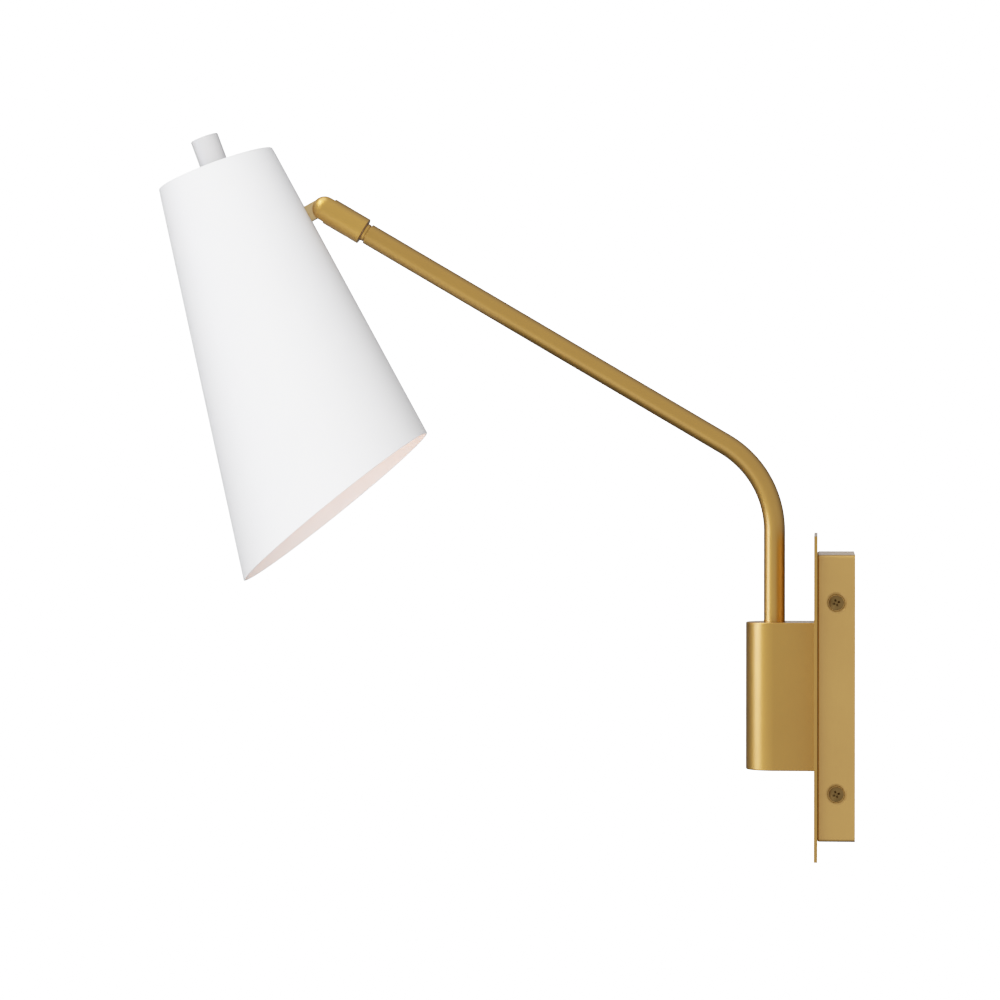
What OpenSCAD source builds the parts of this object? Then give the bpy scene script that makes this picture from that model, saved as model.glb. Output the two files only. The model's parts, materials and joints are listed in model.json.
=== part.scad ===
// Swing arm wall sconce. The wall is the plane y = 0 and the lamp reaches out towards -Y.
// The origin is on the wall, midway between the two junction box slots of the bracket.

/* [Wall mount] */
// Width of the box on the wall
box_w = 96; // [90:1:110]
// Height of the box
box_h = 168; // [160:1:180]
// Depth of the box, from the wall to the plate
box_d = 22; // [20:1:26]
// How far the plate stands past the box all round
plate_margin = 11; // [6:1:16]
// Thickness of the plate
plate_t = 2; // [1.5:0.5:3]

/* [Pivot block] */
// Width of the block, and the diameter of its round front
block_w = 34; // [33:1:38]
// Height of the block
block_h = 88; // [86:1:100]
// Distance from the plate's face to the axis that the arm swings on
block_reach = 23.6; // [22.6:0.1:26]

/* [Arm] */
// Outside diameter of the arm's tube
tube_d = 12.7; // [12.7:0.1:13]
// Height at which the arm's two straight parts would meet
arm_corner_z = 131.5; // [120:0.5:150]
// Slope of the long part above the horizontal, in degrees
arm_pitch = 30.5; // [20:0.5:40]
// Bend radius on the tube's centre line
bend_r = 60; // [50:1:64]
// Length of the long part, from that meeting point to the tube's end
arm_run = 283; // [260:1:320]

/* [Knuckle] */
// Diameter of the knuckle
knuckle_d = 16.4; // [16.2:0.1:17]
// Length of the knuckle, with its round nose
knuckle_len = 35.2; // [34:0.1:40]

/* [Shade] */
// Diameter of the shade's top
shade_top_d = 73; // [72:0.2:80]
// Length of the shade on its long side, along its axis
shade_len = 239; // [230:1:250]
// Diameter that the cone would have at that length
shade_bottom_d = 141; // [136:1:150]
// Slope of the mouth, in degrees from square
mouth_slope = 18.6; // [10:0.2:22]
// Wall thickness of the shade
shade_t = 1.2; // [1:0.1:1.5]
// Lean of the shade's axis from the vertical, in degrees
shade_lean = 20.5; // [10:0.5:30]
// Distance from the shade's top down to the stub that holds it
stub_drop = 45.5; // [44:0.5:50]
// Distance from the shade's wall to the tilt axis
stub_reach = 9.2; // [9:0.1:12]

/* [Knob] */
// Diameter of the knob
knob_d = 17.2; // [17:0.1:20]
// Height of the knob
knob_h = 19.6; // [18:0.1:24]

/* [Hidden] */
$fn = 64;

// Fits and cut allowances
run_fit = 0.06;     // radial clearance of a shaft in its bore
face_gap = 0.05;    // gap between faces that slide on each other
tap_gap = 0.02;     // radial clearance of a screw in its tapped hole
cut = 1;            // how far a cutting shape passes the face that it cuts
far = 400;          // longer than any piece that is cut with it

// Box, bracket and plate
sheet_t = 1.6;      // sheet of the box and of the bracket
plate_back = -box_d;
plate_front = -box_d - plate_t;
bracket_gap = 0.5;  // between the bracket's sides and the box's
bracket_h = 148;
bracket_side_d = 17;
wire_window_d = 40;
wire_window_z = 0;
slot_spacing = 79.4;   // suits junction box screws 70 to 89 mm apart
slot_len = 15;
slot_w = 5;
ground_z = -24;
ground_x = 30;
side_screw_z = 56;
side_screw_y = -11;
side_screw_r = 2.4;
dimple_r = 6.3;
dimple_depth = 0.8;

// Pivot block, with its two bearings
block_z = -1;
block_r = block_w / 2;
block_wall = 3;
swing_y = plate_front - block_reach;
block_top = block_z + block_h / 2;
block_floor = block_z - block_h / 2;
top_wall = 4;
upper_boss_r = 10.5;
upper_boss_z = 29;
bushing_r = 8;
bushing_top = block_top - 1.5;
shelf_top = -2;
shelf_t = 5;
shelf_bottom = shelf_top - shelf_t;
lower_bushing_r = 6.6;
flange_r = 9;
flange_t = 1.5;
block_screw_z = 37;
block_screw_r = 2.5;
block_boss_r = 4.6;
block_boss_len = 14;
stop_pin_r = 1.25;
stop_pin_reach = 11.6;
swing_limit = 80;
cable_hole_z = -27;
cable_hole_r = 5;

// Arm
tube_r = tube_d / 2;
tube_bore = tube_r - 1.25;
tube_foot = shelf_top + flange_t + face_gap;
arm_turn = 90 - arm_pitch;
bend_run = bend_r * tan(arm_turn / 2);
spindle_r = 5;
spindle_foot = -18;
wire_bore = 3.4;
cable_r = 2.3;

// Neck and knuckle, measured along the arm from its corner
neck_groove = 0.6;
neck_ring_end = arm_run + 2.5;
neck_ring_r = 5.55;
washer_t = 0.4;
knuckle_start = neck_ring_end + washer_t;
knuckle_end = knuckle_start + knuckle_len;
knuckle_r = knuckle_d / 2;
journal_r = 4.5;
journal_len = 14;
groove_r = 3.5;
groove_from = knuckle_start + 5;
groove_w = 3.2;
twist_limit = 90;
nose_r = knuckle_r;
pin_from_nose = 5.6;
pin_run = knuckle_end - pin_from_nose;
pin_r = 1.7;
fork_slot = 7;
fork_depth = 11.2;
tongue_t = 6;
eye_r = 4.95;

// Tilt axis, in the lamp's frame
pin_y = swing_y - pin_run * cos(arm_pitch);
pin_z = arm_corner_z + pin_run * sin(arm_pitch);

// Shade, measured from the centre of its top down its axis
shade_top_r = shade_top_d / 2;
shade_bottom_r = shade_bottom_d / 2;
shade_taper = (shade_bottom_r - shade_top_r) / shade_len;
cone_half = atan(shade_taper);
stub_wall_r = shade_top_r + stub_drop * shade_taper;
stub_r = 3.3;
stub_len = 10;
stub_bore = 2.1;
top_edge_r = 0.6;
switch_r = 11;
switch_drop = 18;
switch_neck_r = 4.7;
shaft_r = 3;
shaft_flat = 1.9;
strap_w = 14;
strap_t = 1.2;
socket_r = 16.4;
strap_x = socket_r + 0.1;
socket_top = -28;
cap_end = -46;
socket_end = -72;
socket_screw_z = -40;
shell_r = 14.2;
bulb_tip = -49.5;
screw_r = 13;
housing_top = -75;
housing_end = -112;
globe_r = 30;
globe_z = -128;

// A conductor of the lamp's wiring
lead_r = 0.8;
lead_side = 1;      // half the spacing of the two conductors

// Routes of the loose conductors, as points chosen by hand
supply_routes = [
  [[-1.5, -14.5, -27], [-3, -11, -25], [-9, -8, -18], [-14, -8, -4], [-16, -9, 8], [-16, -10, 22]],
  [[1.5, -14.5, -27], [4, -11, -26], [10, -8, -19], [15, -8, -6], [17, -9, 6], [16, -10, 22]],
  [[0, -14.5, -28.5], [4, -11, -31], [12, -8, -34], [21, -5, -33], [27, -2.7, -28], [32.5, -2.7, -26.8]],
];
head_routes = [
  [[-1, 31.5, -48], [-1.5, 27, -47], [-3, 24, -40], [-4, 21, -28], [-4, 16, -18], [-4, 11.4, -13]],
  [[1, 31.5, -48], [1.5, 27, -48.5], [3, 23, -46], [4, 20.5, -41], [4, 16.75, -38]],
  [[5, -11.4, -12], [6, -15, -14], [6, -18.5, -22], [5, -19.8, -30], [4, -17.2, -37]],
];
tongue_routes = [
  [[0, 2.7, -3.6], [0, 2.7, 0], [0, 1.6, 2.4], [0, 1, 4.2], [0, 1, 6.5], [0, 1, 19]],
  [[0, -2.7, -3.6], [0, -2.7, 0], [0, -1.6, 2.4], [0, -1, 4.2], [0, -1, 6.5], [0, -1, 19]],
];

// ---- Frames of reference ----

// Frame on the arm's long part: z runs up the arm, and x is the lamp's own x
module along_arm(distance = 0) {
  translate([0, swing_y, arm_corner_z])
    rotate([arm_turn, 0, 0])
      translate([0, 0, distance])
        children();
}

// Frame of the shade: origin at the centre of its top, z up its axis, y towards the arm
module at_shade() {
  translate([0, pin_y, pin_z])
    rotate([shade_lean, 0, 0])
      translate([0, -stub_wall_r - stub_reach * cos(cone_half),
                 stub_drop - stub_reach * sin(cone_half)])
        children();
}

// Frame of the stub: origin on the tilt axis, z square into the shade's wall
module at_stub() {
  translate([0, pin_y, pin_z])
    rotate([shade_lean + 90 + cone_half, 0, 0])
      children();
}

module at_swing(z = 0) {
  translate([0, swing_y, z])
    children();
}

// ---- Shapes that repeat ----

module ring(outer, inner, from, to) {
  translate([0, 0, from])
    difference() {
      cylinder(r = outer, h = to - from);
      translate([0, 0, -cut])
        cylinder(r = inner, h = to - from + 2 * cut);
    }
}

module rod_x(r, from, to) {
  translate([from, 0, 0])
    rotate([0, 90, 0])
      cylinder(r = r, h = to - from);
}

// Rod from the wall side outwards, along -Y
module rod_y(r, from, to) {
  translate([0, from, 0])
    rotate([90, 0, 0])
      cylinder(r = r, h = from - to);
}

module hex_nut(across, bore, from, to) {
  translate([0, 0, from])
    difference() {
      cylinder(d = across / cos(30), h = to - from, $fn = 6);
      translate([0, 0, -cut])
        cylinder(r = bore, h = to - from + 2 * cut);
    }
}

// Cross recess cut into a screw head whose top is at z = 0
module cross_recess(size, depth) {
  for (turn = [0, 90])
    rotate([0, 0, turn])
      translate([-size / 2, -size / 8, -depth])
        cube([size, size / 4, depth + cut]);
}

module slot_y(length, width, depth) {
  rotate([90, 0, 0])
    linear_extrude(depth)
      union() {
        square([width, length - width], center = true);
        for (side = [-1, 1])
          translate([0, side * (length - width) / 2])
            circle(d = width);
      }
}

// Smooth curve through a list of points
function spline(p, i, t) =
  let (a = p[max(i - 1, 0)], b = p[i], c = p[i + 1], d = p[min(i + 2, len(p) - 1)])
  0.5 * (2 * b + (c - a) * t + (2 * a - 5 * b + 4 * c - d) * t * t
         + (3 * b - a - 3 * c + d) * t * t * t);
function smooth(p, steps = 4) = concat(
  [for (i = [0 : len(p) - 2], k = [0 : steps - 1]) spline(p, i, k / steps)],
  [p[len(p) - 1]]);
function unit(v) = v / norm(v);
function heading(p, i) = unit(p[min(i + 1, len(p) - 1)] - p[max(i - 1, 0)]);

// Round wire along a route: one ring of corners square to the route at each of its points
module wire(route, r, sides = 8) {
  path = smooth(route);
  rings = len(path);
  corners = [for (i = [0 : rings - 1])
    let (ahead = heading(path, i), side = unit(cross(ahead, [0.2, 0.9, 0.4])),
         up = cross(side, ahead))
    for (k = [0 : sides - 1])
      path[i] + r * (cos(360 * k / sides) * side + sin(360 * k / sides) * up)];
  sleeve = [for (i = [0 : rings - 2], k = [0 : sides - 1])
    let (next = (k + 1) % sides)
    [i * sides + k, i * sides + next, (i + 1) * sides + next, (i + 1) * sides + k]];
  first = [for (k = [0 : sides - 1]) sides - 1 - k];
  last = [for (k = [0 : sides - 1]) (rings - 1) * sides + k];
  polyhedron(corners, concat(sleeve, [first, last]));
}

// ---- Wall mount ----

module wall_bracket() {
  side_x = box_w / 2 - sheet_t - bracket_gap;
  color("silver")
    difference() {
      union() {
        translate([-side_x, -sheet_t, -bracket_h / 2])
          cube([2 * side_x, sheet_t, bracket_h]);
        for (side = [-1, 1], z = [-side_screw_z, side_screw_z])
          translate([side * (side_x - sheet_t / 2) - sheet_t / 2, -bracket_side_d, z - 12])
            cube([sheet_t, bracket_side_d, 24]);
      }
      translate([0, cut, wire_window_z])
        rod_y(wire_window_d / 2, 0, -sheet_t - 2 * cut);
      for (side = [-1, 1])
        translate([0, cut, side * slot_spacing / 2])
          slot_y(slot_len, slot_w, sheet_t + 2 * cut);
      translate([ground_x, cut, ground_z])
        rod_y(2, 0, -sheet_t - 2 * cut);
      for (z = [-side_screw_z, side_screw_z])
        translate([0, side_screw_y, z])
          rod_x(side_screw_r + tap_gap, -box_w, box_w);
    }
}

// Outline of the box seen from the side of the room, with its corners rounded
module box_outline(inset, corner) {
  w = box_w - 2 * inset;
  h = box_h - 2 * inset;
  square([w - 2 * corner, h], center = true);
  square([w, h - 2 * corner], center = true);
  for (x = [-1, 1], z = [-1, 1])
    translate([x * (w / 2 - corner), z * (h / 2 - corner)])
      circle(r = corner);
}

module back_box() {
  corner = 2.4;
  color("goldenrod")
    difference() {
      rotate([90, 0, 0])
        linear_extrude(box_d)
          box_outline(0, corner);
      translate([0, cut, 0])
        rotate([90, 0, 0])
          linear_extrude(box_d - sheet_t + cut)
            box_outline(sheet_t, corner - sheet_t);
      for (side = [-1, 1], z = [-side_screw_z, side_screw_z])
        translate([side * box_w / 2, side_screw_y, z])
          rotate([0, 90 * side, 0]) {
            translate([0, 0, -sheet_t - cut])
              cylinder(r = side_screw_r + 0.3, h = sheet_t + 2 * cut);
            translate([0, 0, -dimple_depth])
              cylinder(r1 = 4.7, r2 = dimple_r, h = dimple_depth);
          }
      front_holes();
    }
}

// Holes through the front of the box and the plate
module front_holes() {
  translate([0, plate_back + sheet_t + cut, cable_hole_z])
    rod_y(cable_hole_r, 0, -sheet_t - plate_t - 2 * cut);
  for (side = [-1, 1])
    translate([0, plate_back + sheet_t + cut, block_z + side * block_screw_z])
      rod_y(block_screw_r + 0.25, 0, -sheet_t - plate_t - 2 * cut);
}

module wall_plate() {
  w = box_w + 2 * plate_margin;
  h = box_h + 2 * plate_margin;
  color("goldenrod")
    difference() {
      translate([-w / 2, plate_front, -h / 2])
        cube([w, plate_t, h]);
      front_holes();
    }
}

// Raised-head screw along z, its head's top at z = 0
module pan_screw(head_r, head_h, shank_r, length) {
  difference() {
    union() {
      intersection() {
        translate([0, 0, -head_h])
          cylinder(r = head_r, h = head_h);
        translate([0, 0, -2.2 * head_r])
          sphere(r = 2.2 * head_r);
      }
      translate([0, 0, -head_h - length])
        cylinder(r = shank_r, h = length + cut / 2);
    }
    cross_recess(head_r * 1.05, head_h * 0.7);
  }
}

module side_screws() {
  head_h = 1.9;
  color("darkgoldenrod")
    for (side = [-1, 1], z = [-side_screw_z, side_screw_z])
      translate([side * (box_w / 2 - dimple_depth + head_h), side_screw_y, z])
        rotate([0, 90 * side, 0])
          pan_screw(head_r = 4.4, head_h = head_h, shank_r = side_screw_r, length = 7);
}

module ground_screw() {
  color("green")
    translate([ground_x, -sheet_t - 4.2, ground_z])
      rotate([90, 0, 0])
        pan_screw(head_r = 4, head_h = 2, shank_r = 1.98, length = 3.6);
}

module wire_nuts() {
  color("darkorange")
    for (side = [-1, 1])
      translate([side * 16, -10.5, 16.6])
        difference() {
          union() {
            cylinder(r1 = 5.4, r2 = 3.6, h = 20);
            for (turn = [0, 90])
              rotate([0, 0, turn])
                translate([-6, -0.8, 1])
                  cube([12, 1.6, 9]);
          }
          translate([0, 0, -cut])
            cylinder(r = 3, h = 10);
        }
}

module plate_grommet() {
  wall = sheet_t + plate_t;
  lip_t = 1.5;
  lip_r = cable_hole_r + 1.2;
  color("black")
    translate([0, plate_back + sheet_t, cable_hole_z])
      rotate([90, 0, 0]) {
        ring(lip_r, 2.7, -lip_t, 0);
        ring(cable_hole_r, 2.7, 0, wall);
        ring(lip_r, 2.7, wall, wall + lip_t);
      }
}

// Cable that turns out of the spindle and runs through the plate into the box
module wall_cable() {
  turn_r = 8.3;
  color("dimgray")
    union() {
      translate([0, swing_y, cable_hole_z + turn_r])
        cylinder(r = cable_r, h = spindle_foot - 0.4 - cable_hole_z - turn_r);
      translate([0, swing_y + turn_r, cable_hole_z + turn_r])
        rotate([-90, 0, -90])
          rotate_extrude(angle = 90)
            translate([turn_r, 0])
              circle(r = cable_r);
      translate([0, -15, cable_hole_z])
        rod_y(cable_r, 0, swing_y + turn_r + 15);
    }
}

module lead_wires() {
  for (i = [0 : len(supply_routes) - 1])
    color(["black", "white", "green"][i])
      wire(supply_routes[i], lead_r);
}

// ---- Pivot block ----

// Plan of the block: flat at the plate, round in front
module block_plan(inset) {
  r = block_r - inset;
  translate([0, swing_y])
    circle(r = r);
  translate([-r, swing_y])
    square([2 * r, plate_front - swing_y]);
}

// Hollow of the block, open at the plate
module block_cavity() {
  inner_w = block_w - 2 * block_wall;
  translate([0, 0, block_floor + block_wall])
    linear_extrude(block_h - block_wall - top_wall) {
      block_plan(block_wall);
      translate([-inner_w / 2, plate_front - cut])
        square([inner_w, 2 * cut]);
    }
}

// Housing with a bearing boss under its top, a bearing shelf and two screw bosses
module pivot_block() {
  color("goldenrod")
    difference() {
      translate([0, 0, block_floor])
        linear_extrude(block_h)
          block_plan(0);
      difference() {
        block_cavity();
        translate([-block_r, swing_y - block_r, shelf_bottom])
          cube([block_w, block_r + 14, shelf_t]);
        for (side = [-1, 1])
          translate([0, plate_front, block_z + side * block_screw_z])
            rod_y(block_boss_r, 0, -block_boss_len);
        at_swing(upper_boss_z)
          cylinder(r = upper_boss_r, h = block_top - upper_boss_z);
      }
      at_swing(upper_boss_z - cut)
        cylinder(r = bushing_r, h = bushing_top - upper_boss_z + cut);
      at_swing(0)
        cylinder(r = tube_r + 0.3, h = block_h);
      at_swing(shelf_bottom - cut)
        cylinder(r = lower_bushing_r, h = shelf_t + 2 * cut);
      translate([0, swing_y + stop_pin_reach, shelf_bottom - cut])
        cylinder(r = stop_pin_r, h = 3.5 + cut);
      for (side = [-1, 1])
        translate([0, plate_front + cut, block_z + side * block_screw_z])
          rod_y(block_screw_r + tap_gap, 0, -11 - cut);
    }
}

module block_screws() {
  color("silver")
    for (side = [-1, 1])
      translate([0, plate_back + sheet_t + 3, block_z + side * block_screw_z])
        rotate([-90, 0, 0])
          pan_screw(head_r = 4.6, head_h = 3, shank_r = block_screw_r, length = 13);
}

module upper_bushing() {
  color("whitesmoke")
    at_swing()
      ring(bushing_r, tube_r + run_fit, upper_boss_z + 0.5, bushing_top);
}

module lower_bushing() {
  color("whitesmoke")
    at_swing() {
      ring(lower_bushing_r, spindle_r + run_fit, shelf_bottom, shelf_top);
      ring(flange_r, spindle_r + run_fit, shelf_top, shelf_top + flange_t);
    }
}

module stop_pin() {
  color("silver")
    translate([0, swing_y + stop_pin_reach, shelf_bottom - 4.6])
      cylinder(r = stop_pin_r, h = 4.6 + 3.4);
}

// ---- Arm ----

// A rod bent like the arm; its bend is a hair thicker, so the straight runs end inside it
module arm_rod(r, foot, end) {
  swell = 0.02;
  lap = 0.3;
  union() {
    at_swing(foot)
      cylinder(r = r, h = arm_corner_z - bend_run - foot + lap);
    translate([0, swing_y - bend_r, arm_corner_z - bend_run])
      rotate([90, 0, 90])
        rotate_extrude(angle = arm_turn)
          translate([bend_r, 0])
            circle(r = r + swell);
    along_arm(bend_run - lap)
      cylinder(r = r, h = end - bend_run + lap);
  }
}

module arm_tube() {
  color("goldenrod")
    difference() {
      arm_rod(tube_r, tube_foot, arm_run);
      arm_rod(tube_bore, tube_foot - cut, arm_run + cut);
    }
}

module arm_spindle() {
  color("silver")
    at_swing()
      ring(spindle_r, wire_bore, spindle_foot, 14);
}

module spring_washer() {
  color("silver")
    at_swing()
      ring(flange_r, spindle_r + 0.1, shelf_bottom - 1.2, shelf_bottom - face_gap);
}

// Washer on the spindle with a notch for the stop pin, as wide as the swing
module stop_washer() {
  top = shelf_bottom - 1.25;
  notch = swing_limit + asin(stop_pin_r / stop_pin_reach) + 0.6;
  rim = block_r - block_wall - 0.5;
  color("silver")
    at_swing()
      difference() {
        ring(rim, spindle_r + 0.02, top - 2, top);
        translate([0, 0, top - 2 - cut])
          rotate([0, 0, 90 - notch])
            rotate_extrude(angle = 2 * notch)
              translate([stop_pin_reach - stop_pin_r - 0.35, 0])
                square([rim, 2 + 2 * cut]);
      }
}

module spindle_nut() {
  top = shelf_bottom - 3.3;
  color("silver")
    at_swing()
      hex_nut(15, spindle_r + tap_gap, top - 4.5, top);
}

// Plug in the tube's end, with the neck ring, and the journal that the knuckle turns on
module arm_end_fitting() {
  plug_len = 18;
  groove_spare = 24;
  color("goldenrod")
    along_arm()
      difference() {
        union() {
          translate([0, 0, arm_run - plug_len])
            cylinder(r = tube_bore - tap_gap, h = plug_len);
          translate([0, 0, arm_run])
            cylinder(r = neck_ring_r - 0.7, h = neck_groove);
          translate([0, 0, arm_run + neck_groove])
            cylinder(r = neck_ring_r, h = neck_ring_end - arm_run - neck_groove);
          translate([0, 0, neck_ring_end])
            cylinder(r = journal_r, h = journal_len);
        }
        translate([0, 0, arm_run - plug_len - cut])
          cylinder(r = cable_r + 0.2, h = far);
        translate([0, 0, groove_from])
          rotate([0, 0, -90 - twist_limit - groove_spare])
            rotate_extrude(angle = 2 * (twist_limit + groove_spare))
              translate([groove_r, 0])
                square([journal_r, groove_w]);
      }
}

module arm_cable() {
  color("dimgray")
    arm_rod(cable_r, spindle_foot, arm_run + 13);
}

// ---- Knuckle ----

module swivel_washer() {
  color("black")
    along_arm()
      ring(neck_ring_r, journal_r + run_fit, neck_ring_end + face_gap, knuckle_start);
}

module knuckle() {
  bore = journal_r + run_fit;
  slot_from = knuckle_end - fork_depth;
  color("goldenrod")
    difference() {
      along_arm(knuckle_start)
        union() {
          cylinder(r = knuckle_r, h = knuckle_len - nose_r);
          translate([0, 0, knuckle_len - nose_r])
            sphere(r = nose_r);
        }
      along_arm(knuckle_start - cut)
        cylinder(r = bore, h = journal_len + 1.5);
      along_arm(knuckle_start)
        cylinder(r = cable_r + 0.4, h = knuckle_len - fork_depth + cut);
      along_arm(slot_from)
        translate([-fork_slot / 2, -knuckle_d, 0])
          cube([fork_slot, 2 * knuckle_d, fork_depth + cut]);
      along_arm(groove_from + groove_w / 2)
        translate([0, cut, 0])
          rod_y(1.5 + tap_gap, 0, -knuckle_d);
      along_arm(pin_run) {
        rod_x(pin_r + tap_gap, -knuckle_d, 6);
        rod_x(3, -knuckle_d, -5.6);
      }
    }
}

module swivel_screw() {
  color("silver")
    along_arm(groove_from + groove_w / 2)
      difference() {
        translate([0, -knuckle_r + 0.5, 0])
          rotate([-90, 0, 0])
            cylinder(r = 1.5, h = knuckle_r - 0.5 - groove_r - 0.2);
        translate([0, -knuckle_r + 0.4, 0])
          rotate([-90, 0, 0])
            cylinder(r = 0.8, h = 1.6, $fn = 6);
      }
}

module tilt_screw() {
  head_r = 2.85;
  head_top = -7.3;
  head_seat = -5.62;
  key_r = 1.3;
  key_floor = -6.2;
  shank_end = 5.8;
  color("silver")
    along_arm(pin_run)
      difference() {
        union() {
          rod_x(pin_r, head_seat - 0.08, shank_end);
          rod_x(head_r, head_top, head_seat);
        }
        rod_x(key_r, head_top - 1, key_floor, $fn = 6);
      }
}

module tilt_washers() {
  color("black")
    along_arm(pin_run)
      for (side = [-1, 1])
        translate([side * (fork_slot + tongue_t) / 4, 0, 0])
          rotate([0, 90, 0])
            ring(4.5, pin_r + run_fit, -0.22, 0.22);
}

module knuckle_leads() {
  color("saddlebrown")
    for (side = [-1, 1])
      along_arm(neck_ring_end + journal_len + 0.4)
        translate([0, side * lead_side, 0])
          cylinder(r = lead_r, h = knuckle_end - fork_depth - neck_ring_end - journal_len - 0.5);
}

// ---- Head ----

module tongue() {
  lead_slot_w = 3.4;
  lead_slot_half = 3.9;
  lead_slot_depth = 4.5;
  color("goldenrod")
    at_stub()
      difference() {
        union() {
          rod_x(eye_r, -tongue_t / 2, tongue_t / 2);
          translate([-tongue_t / 2, -eye_r, 0])
            cube([tongue_t, 2 * eye_r, stub_reach - 0.02]);
          translate([0, 0, stub_reach - 0.5])
            cylinder(r = stub_r, h = stub_len + 0.5);
        }
        rod_x(pin_r + run_fit, -tongue_t, tongue_t);
        translate([-lead_slot_w / 2, -eye_r - cut, -eye_r - cut])
          cube([lead_slot_w, 2 * (eye_r + cut), eye_r + cut]);
        translate([-lead_slot_w / 2, -lead_slot_half, -cut])
          cube([lead_slot_w, 2 * lead_slot_half, lead_slot_depth]);
        cylinder(r = stub_bore, h = far);
      }
}

// Full cone of the shade, drawn in from its outside by inset
module shade_cone(inset, sides = 64) {
  r_top = shade_top_r - inset / cos(cone_half);
  r_bottom = shade_bottom_r - inset / cos(cone_half);
  translate([0, 0, -shade_len - cut])
    cylinder(r1 = r_bottom + shade_taper * cut, r2 = r_top, h = shade_len + cut, $fn = sides);
}

module mouth_cut() {
  low = -shade_bottom_r;
  translate([0, low, -shade_len])
    rotate([mouth_slope, 0, 0])
      translate([-far / 2, -far / 2, -far])
        cube([far, far, far]);
}

module shade() {
  rounding = top_edge_r;
  color("white")
    difference() {
      at_shade()
        difference() {
          shade_cone(0);
          rotate_extrude()
            difference() {
              translate([shade_top_r - rounding, -rounding])
                square(2 * rounding);
              translate([shade_top_r - rounding, -rounding])
                circle(r = rounding);
            }
          intersection() {
            shade_cone(shade_t);
            translate([-far / 2, -far / 2, -far - shade_t])
              cube(far);
          }
          mouth_cut();
          translate([0, 0, -2 * shade_t])
            cylinder(r = switch_neck_r + 0.1, h = 4 * shade_t);
        }
      at_stub()
        translate([0, 0, stub_reach - 2])
          cylinder(r = stub_r + 0.15, h = 6);
    }
}

module stem_washer() {
  color("silver")
    intersection() {
      at_stub()
        ring(6.5, stub_r + 0.1, stub_reach + 0.5, stub_reach + shade_t + 2);
      at_shade()
        shade_cone(shade_t + 0.05, 360);
    }
}

module stem_nut() {
  from = stub_reach + shade_t + 2.05;
  color("silver")
    at_stub()
      hex_nut(10, stub_r + tap_gap, from, from + 4);
}

module switch_body() {
  strap_bottom = -shade_t - strap_t - 0.1;
  color("black")
    at_shade()
      difference() {
        union() {
          translate([-switch_r, -switch_r, strap_bottom - switch_drop + 3])
            cube([2 * switch_r, 2 * switch_r, switch_drop - 3]);
          translate([0, 0, strap_bottom - 1])
            cylinder(r = switch_neck_r, h = 1 - strap_bottom + 4.5);
        }
        translate([0, 0, -12])
          cylinder(r = shaft_r + run_fit, h = 30);
      }
}

module switch_nut() {
  color("silver")
    at_shade()
      hex_nut(12, switch_neck_r + tap_gap, 0.02, 2.6);
}

module socket_bracket() {
  top = -shade_t - 0.05;
  leg_end = -46;
  color("silver")
    at_shade()
      difference() {
        union() {
          translate([-strap_x - strap_t, -strap_w / 2, top - strap_t])
            cube([2 * (strap_x + strap_t), strap_w, strap_t]);
          for (side = [-1, 1])
            translate([side * (strap_x + strap_t / 2) - strap_t / 2, -strap_w / 2, leg_end])
              cube([strap_t, strap_w, top - leg_end]);
        }
        translate([0, 0, -10])
          cylinder(r = switch_neck_r + 0.05, h = 12);
        translate([0, 0, socket_screw_z])
          rod_x(1.7, -strap_x - 5, strap_x + 5);
      }
}

module socket_screws() {
  color("silver")
    at_shade()
      for (side = [-1, 1])
        translate([side * (strap_x + strap_t + 1.8), 0, socket_screw_z])
          rotate([0, 90 * side, 0])
            pan_screw(head_r = 2.9, head_h = 1.75, shank_r = 1.5, length = 6);
}

module socket_cap() {
  wall = 3;
  color("dimgray")
    at_shade()
      difference() {
        translate([0, 0, cap_end])
          cylinder(r = socket_r, h = socket_top - cap_end);
        translate([0, 0, cap_end - cut])
          cylinder(r = socket_r - 6, h = socket_top - cap_end - wall + cut);
        translate([0, 0, socket_screw_z])
          rod_x(1.5 + tap_gap, -socket_r - cut, socket_r + cut);
      }
}

module socket_body() {
  color("dimgray")
    at_shade() {
      ring(socket_r, shell_r + 0.1, socket_end, cap_end - 0.02);
      ring(socket_r + 1.2, shell_r + 0.1, socket_end - 2, socket_end);
    }
}

module socket_insulator() {
  color("ivory")
    at_shade()
      translate([0, 0, cap_end - 1.6])
        cylinder(r = shell_r, h = 1.5);
}

module screw_shell() {
  top = cap_end - 1.65;
  color("gold")
    at_shade() {
      ring(shell_r, shell_r - 0.5, socket_end + 2, top);
      ring(shell_r, 6, top - 0.5, top);
    }
}

module centre_contact() {
  color("gold")
    at_shade()
      translate([0, 0, bulb_tip + 0.05])
        cylinder(r = 3, h = cap_end - 1.65 - bulb_tip - 0.05);
}

// Screw cap of the lamp: a hollow cup with rolled ridges and a contact at its tip
module bulb_base() {
  ridges = 5;
  pitch = 3.6;
  wall = 1.2;
  contact_h = 1.5;
  color("silver")
    at_shade()
      difference() {
        union() {
          translate([0, 0, bulb_tip - contact_h])
            cylinder(r = 4, h = contact_h);
          translate([0, 0, housing_top])
            cylinder(r = screw_r - 0.6, h = bulb_tip - contact_h - housing_top);
          for (i = [0 : ridges - 1])
            translate([0, 0, housing_top + 4 + i * pitch])
              rotate_extrude()
                translate([screw_r - 0.8, 0])
                  circle(r = 0.75);
        }
        translate([0, 0, housing_top - cut])
          cylinder(r = screw_r - 0.6 - wall,
                   h = bulb_tip - contact_h - housing_top - wall + cut);
      }
}

// Flared body of the lamp, between its screw cap and its globe
module bulb_housing() {
  wall = 1.5;
  neck = 13.6;
  shoulder = globe_at(housing_end);
  color("white")
    at_shade()
      rotate_extrude()
        polygon([[0, housing_top], [neck, housing_top], [shoulder, housing_end],
                 [shoulder - wall, housing_end], [neck - wall, housing_top - wall],
                 [0, housing_top - wall]]);
}

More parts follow.
